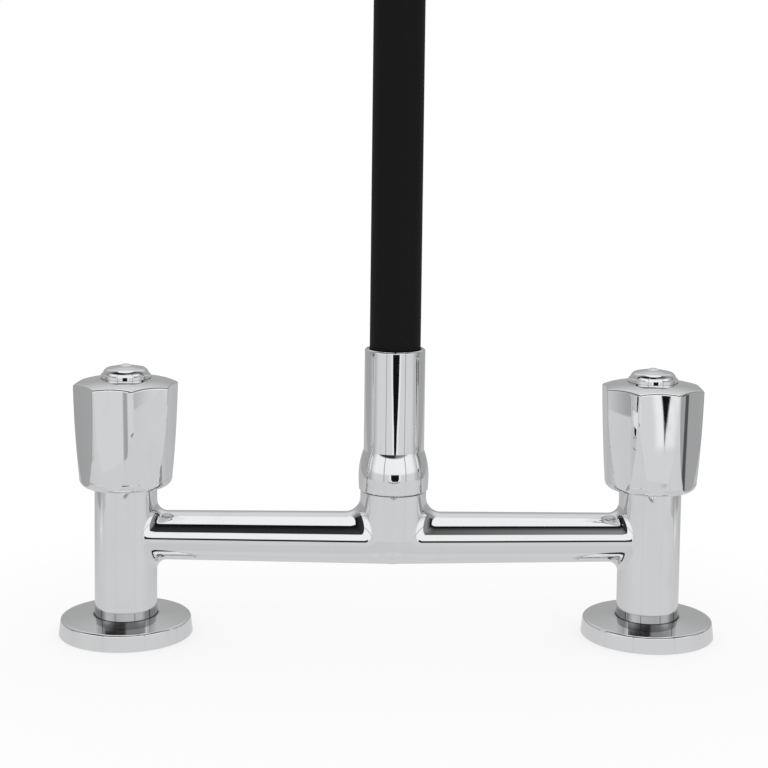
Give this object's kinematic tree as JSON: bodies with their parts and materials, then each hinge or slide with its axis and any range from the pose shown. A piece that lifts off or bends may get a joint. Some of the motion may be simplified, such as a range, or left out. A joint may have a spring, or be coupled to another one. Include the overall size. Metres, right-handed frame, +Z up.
{
  "type": "bridge kitchen faucet",
  "caption": "Deck-mounted bridge kitchen faucet: chrome columns with fluted knobs joined by a bridge, with a swivelling flexible black high-arc spout and an aerated outlet.",
  "frame": {"origin": "on the deck surface, midway between the two columns, at the underside of the base seals", "axes": "+X along the bridge towards the cold (right) column, -Y towards the user and the spout outlet, +Z up"},
  "size_m": [0.2506, 0.2186, 0.4577],
  "materials": {
    "chrome": "polished chrome plate",
    "black_silicone": "matt black silicone sleeve",
    "black_rubber": "moulded seal",
    "brass": "machined brass",
    "steel": "stainless steel",
    "ceramic": "lapped alumina",
    "fibre": "pressed fibre washer",
    "tube_plastic": "drinking water tube",
    "grey_plastic": "moulded aerator grid"
  },
  "bodies": {
    "base": {"bridge_body": "chrome", "left_flange": "chrome", "left_flange_seal": "black_rubber", "left_inlet_shank": "brass", "left_valve_housing": "brass", "left_valve_head_seal": "fibre", "left_valve_seat_seal": "black_rubber", "left_fixed_disc": "ceramic", "right_flange": "chrome", "right_flange_seal": "black_rubber", "right_inlet_shank": "brass", "right_valve_housing": "brass", "right_valve_head_seal": "fibre", "right_valve_seat_seal": "black_rubber", "right_fixed_disc": "ceramic", "under_deck_seals": "black_rubber", "fixing_washers": "steel", "backnuts": "brass", "swivel_clip": "steel"},
    "left_handle_set": {"left_moving_disc": "ceramic", "left_spindle": "brass", "left_spindle_o_rings": "black_rubber", "left_spindle_clip": "steel", "left_handle": "chrome", "left_handle_screw": "steel", "left_index_button": "chrome"},
    "right_handle_set": {"right_moving_disc": "ceramic", "right_spindle": "brass", "right_spindle_o_rings": "black_rubber", "right_spindle_clip": "steel", "right_handle": "chrome", "right_handle_screw": "steel", "right_index_button": "chrome"},
    "spout": {"spout_sleeve": "chrome", "spout_tail": "brass", "swivel_o_rings": "black_rubber", "spout_cover": "black_silicone", "spout_core": "steel", "water_tube": "tube_plastic"},
    "outlet": {"outlet_sleeve": "chrome", "outlet_tail": "brass", "aerator_housing": "chrome", "aerator_insert": "grey_plastic", "aerator_seal": "black_rubber"}
  },
  "joints": [
    {"name": "left_handle_turn", "type": "hinge", "parent": "base", "child": "left_handle_set", "pos_m": [-0.1, 0, 0.062], "axis": [0, 0, 1], "range_deg": [0, 90]},
    {"name": "right_handle_turn", "type": "hinge", "parent": "base", "child": "right_handle_set", "pos_m": [0.1, 0, 0.062], "axis": [0, 0, 1], "range_deg": [-90, 0]},
    {"name": "spout_swivel", "type": "hinge", "parent": "base", "child": "spout", "pos_m": [0.0016, 0, 0.056], "axis": [0, 0, 1], "continuous": true},
    {"name": "spout_flex", "type": "hinge", "parent": "spout", "child": "outlet", "pos_m": [0.0016, -0.09, 0.375], "axis": [1, 0, 0], "range_deg": [-30, 25], "deforming": ["spout_cover", "spout_core", "water_tube"]}
  ]
}
